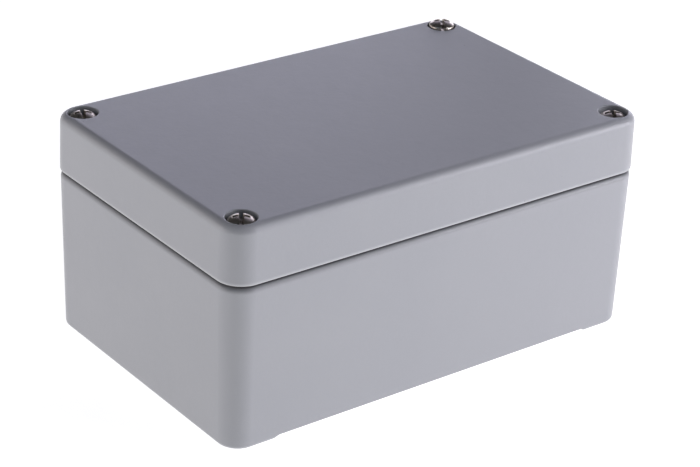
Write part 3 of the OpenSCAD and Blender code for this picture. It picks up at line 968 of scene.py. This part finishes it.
def screw_field(head_r, head_h, crown, low, neck):
    """Crowned head with slot and cross; z = 0 is the seat. neck is None or (neck radius, upper end of the thread)."""
    big = (head_r ** 2 + crown ** 2) / (2 * crown)

    def f(x, y, z):
        r = np.sqrt(x * x + y * y)
        ball = np.sqrt(r * r + (z - head_h - crown + big) ** 2) - big
        head = smax(smax(r - head_r, ball, 0.30), 0.03 - z, 0.12)
        slot = smax(np.abs(y) - 0.42 - 0.03 * (z - head_h), head_h - 0.7 - z, 0.10)
        taper = 0.36 * (z - head_h)
        deep = head_h - 1.25
        arm_a = smax(smax(np.abs(y) - 0.42 - 0.06 * (z - head_h), np.abs(x) - 1.75 - taper, 0.10), deep - z, 0.10)
        arm_b = smax(smax(np.abs(x) - 0.42 - 0.06 * (z - head_h), np.abs(y) - 1.75 - taper, 0.10), deep - z, 0.10)
        # webs between the arms, as a cross driver's core leaves them
        core = smax(np.abs(x) + np.abs(y) - 0.95 - 0.25 * (z - head_h), head_h - 1.5 - z, 0.12)
        cut = smin(smin(slot, smin(arm_a, arm_b, 0.12), 0.08), core, 0.10)
        head = smax(head, -cut, 0.10)
        top = neck[1] if neck else 0.3
        a = np.arctan2(y, x) / (2 * math.pi)
        w = np.abs(((z / 0.7 - a) % 1.0) - 0.5) * 2            # 0 at the root, 1 at the crest
        crest = 1.93
        depth = 0.42
        if neck:
            fade = np.clip((top - z) / 0.5, 0, 1) * np.clip((z - low) / 0.7, 0, 1)
        else:
            fade = np.clip((-0.7 - z) / 0.6, 0, 1) * np.clip((z - low) / 0.7, 0, 1)
        wave = np.clip((w - 0.10) / 0.80, 0, 1)
        rr = crest - depth * (1 - wave) * (0.25 + 0.75 * fade) - 0.0
        thread = (r - rr) * 0.72
        thread = smax(smax(thread, z - top, 0.15), low - z, 0.12)
        thread = smax(thread, (r - 1.35 + (low - z) * 1.0) * 0.7071, 0.12)
        body = smin(head, thread, 0.10)
        if neck:
            pin = smax(smax(r - neck[0], z - 1.0, 0.1), top - 0.5 - z, 0.1)
            body = smin(smin(head, pin, 0.25), thread, 0.10)
        return body
    return f


def place(co, no, x, y, z, turn):
    a = math.radians(turn)
    m = np.array(((math.cos(a), -math.sin(a), 0), (math.sin(a), math.cos(a), 0), (0, 0, 1)))
    return co @ m.T + np.array((x, y, z)), no @ m.T


def build_screws():
    co, no, quads = surface(screw_field(3.45, 2.75, 1.35, -17.2, (1.6, -10.2)), (-3.45, -3.45, -17.2), (3.45, 3.45, 4.1), 0.11)
    for name, (sx, sy) in SIDE.items():
        c, n = place(co, no, sx * SX, sy * SY, 54.2 + OUT[name], TURN[name])
        make_piece("captive_screw_" + name, c, n, quads, [STEEL], "screw_" + name, ["lid_screw_" + name])
    co, no, quads = surface(screw_field(3.6, 2.2, 0.5, -8.2, None), (-3.6, -3.6, -8.2), (3.6, 3.6, 2.7), 0.11)
    c, n = place(co, no, EX, 0, 13.2, 40)
    make_piece("earth_terminal_screw", c, n, quads, [ZINC], "earth_screw", ["earth_screw"])


def build_washers():
    for name, (sx, sy) in SIDE.items():
        s = Shell()
        z0 = 44.0 + OUT[name]
        prof = fillet(1.65, z0 + 0.12, 1.77, z0, INW, DOWN, 3) + [(2.6, z0, 0, -1)] + fillet(3.40, z0, 3.55, z0 + 0.15, DOWN, OUTW, 3)
        prof += fillet(3.55, z0 + 0.62, 3.37, z0 + 0.8, OUTW, UP, 3) + [(2.4, z0 + 0.8, 0, 1)] + fillet(1.85, z0 + 0.8, 1.65, z0 + 0.6, UP, INW, 3)
        a, b = s.lathe(sx * SX, sy * SY, prof, 72, coat=0.0)
        s.join(b, a)
        s.build("captive_washer_" + name, [NYLON], "washer_" + name, "clear_nylon", "retaining_washer_" + name)


def build_earth():
    # square clamp washer with turned-down ears
    def f(x, y, z):
        def box(px, py, pz, ax, ay, az, r):
            q = np.stack([np.abs(px) - ax + r, np.abs(py) - ay + r, np.abs(pz) - az + r])
            return np.sqrt((np.maximum(q, 0) ** 2).sum(0)) + np.minimum(q.max(0), 0) - r
        plate = box(x, y, z - 0.6, 5.2, 5.2, 0.6, 0.16)
        ears = box(x, np.abs(y) - 4.7, z + 0.25, 5.2, 0.5, 1.35, 0.16)
        body = smin(plate, ears, 0.5)
        bore = 2.25 - np.sqrt(x * x + y * y)
        return smax(body, bore, 0.14)
    co, no, quads = surface(f, (-5.2, -5.2, -1.6), (5.2, 5.2, 1.2), 0.14)
    c, n = place(co, no, EX, 0, 11.0, 0)
    make_piece("earth_saddle_clamp", c, n, quads, [ZINC], "earth_clamp", ["earth_clamp_washer"])

    # split spring ring, swept round, with its cut ends
    def g(x, y, z):
        r = np.sqrt(x * x + y * y)
        a = np.maximum(np.abs(r - 2.8) - 0.7 + 0.12, np.abs(z - 0.5) - 0.5 + 0.12)
        qx, qz = np.abs(r - 2.8) - 0.58, np.abs(z - 0.5) - 0.38
        ring = np.sqrt(np.maximum(qx, 0) ** 2 + np.maximum(qz, 0) ** 2) + np.minimum(np.maximum(qx, qz), 0) - 0.12
        slit = np.where(x > 0, 0.4 - np.abs(y - 0.25 * (z - 0.5)), -3.0)
        return smax(ring, slit, 0.10)
    co, no, quads = surface(g, (-3.5, -3.5, 0), (3.5, 3.5, 1.0), 0.1)
    c, n = place(co, no, EX, 0, 12.2, 0)
    make_piece("earth_spring_washer", c, n, quads, [STEEL], "earth_clamp", ["earth_lock_washer"])


build_lid()
build_base()
build_gasket()
build_screws()
build_washers()
build_earth()


# ---- stage ----------------------------------------------------------------------------

def area(name, loc, target, size, power, color=(1, 1, 1), size_y=None):
    d = bpy.data.lights.new(name, "AREA")
    d.energy, d.color = power, color
    d.shape = "RECTANGLE"
    d.size, d.size_y = size, size_y or size
    o = bpy.data.objects.new(name, d)
    scene.collection.objects.link(o)
    o.location = loc
    o.rotation_mode = "QUATERNION"
    o.rotation_quaternion = (Vector(target) - Vector(loc)).to_track_quat("-Z", "Y")
    return o


def build_stage():
    mesh = bpy.data.meshes.new("floor")
    k = 4.0
    mesh.from_pydata([(x, y, -0.0002) for x, y in ((-k, -k), (k, -k), (k, k), (-k, k))], [], [(0, 1, 2, 3)])
    floor = bpy.data.objects.new("floor", mesh)
    scene.collection.objects.link(floor)
    m, nt = new_material("floor_white")
    d = node(nt, "ShaderNodeBsdfDiffuse")
    d.inputs["Color"].default_value = (0.5, 0.5, 0.5, 1)
    e = node(nt, "ShaderNodeEmission")
    e.inputs["Color"].default_value = (1, 1, 1, 1)
    e.inputs["Strength"].default_value = FLOOR
    add = node(nt, "ShaderNodeAddShader")
    link(nt, d.outputs[0], add.inputs[0])
    link(nt, e.outputs[0], add.inputs[1])
    # open from below, so that the underside can be seen
    side = node(nt, "ShaderNodeMixShader")
    link(nt, node(nt, "ShaderNodeNewGeometry").outputs["Backfacing"], side.inputs["Fac"])
    link(nt, add.outputs[0], side.inputs[1])
    link(nt, node(nt, "ShaderNodeBsdfTransparent").outputs[0], side.inputs[2])
    out = node(nt, "ShaderNodeOutputMaterial")
    link(nt, side.outputs[0], out.inputs["Surface"])
    mesh.materials.append(m)
    world = bpy.data.worlds.new("studio")
    scene.world = world
    world.use_nodes = True
    nt = world.node_tree
    nt.nodes.clear()
    bg = node(nt, "ShaderNodeBackground")
    tc = node(nt, "ShaderNodeTexCoord")
    sep = node(nt, "ShaderNodeSeparateXYZ")
    link(nt, tc.outputs["Generated"], sep.inputs["Vector"])
    sky = ramp(nt, sep.outputs["Z"], [(0.0, grey(0.9)), (0.08, grey(0.7)), (0.16, grey(0.06)), (1.0, grey(0.03))])
    link(nt, sky, bg.inputs["Color"])
    bg.inputs["Strength"].default_value = WORLD
    out = node(nt, "ShaderNodeOutputWorld")
    link(nt, bg.outputs[0], out.inputs["Surface"])
    for az, el, far, side, watts in LAMPS:
        a, b = math.radians(az), math.radians(el)
        loc = Vector((math.cos(a) * math.cos(b), math.sin(a) * math.cos(b), math.sin(b))) * far + Vector((0, 0, 0.03))
        top = max(watts)
        lamp = area("panel_%03d_%02d" % (az, el), loc, (0, 0, 0.03), side, top, tuple(w / top for w in watts))
        lamp.visible_camera = False


# Soft panels round the box: azimuth from +X and elevation in degrees, distance and side in m, power in each colour
LAMPS = (
    (315, 12, 0.6, 0.28, (1.55, 1.52, 1.64)),
    (155, 12, 0.6, 0.28, (0.59, 0.55, 0.54)),
    (30, 12, 1.2, 0.5, (2.15, 2.12, 2.50)),
    (30, 38, 1.2, 0.5, (0.38, 0.37, 0.49)),
    (60, 12, 1.2, 0.5, (1.40, 1.38, 1.65)),
    (60, 38, 1.2, 0.5, (0.46, 0.44, 0.59)),
    (120, 12, 1.2, 0.5, (0.80, 0.72, 0.72)),
    (180, 50, 1.2, 0.5, (0.40, 0.48, 0.60)),
    (240, 65, 1.2, 0.5, (0.16, 0.20, 0.24)),
    (304, 40, 1.2, 0.22, (1.55, 1.60, 1.68)),
    (335, 12, 1.2, 0.5, (0.60, 0.58, 0.62)),
)
WORLD = 1.0
FLOOR = 0.88
build_stage()
scene.view_settings.view_transform = "Standard"
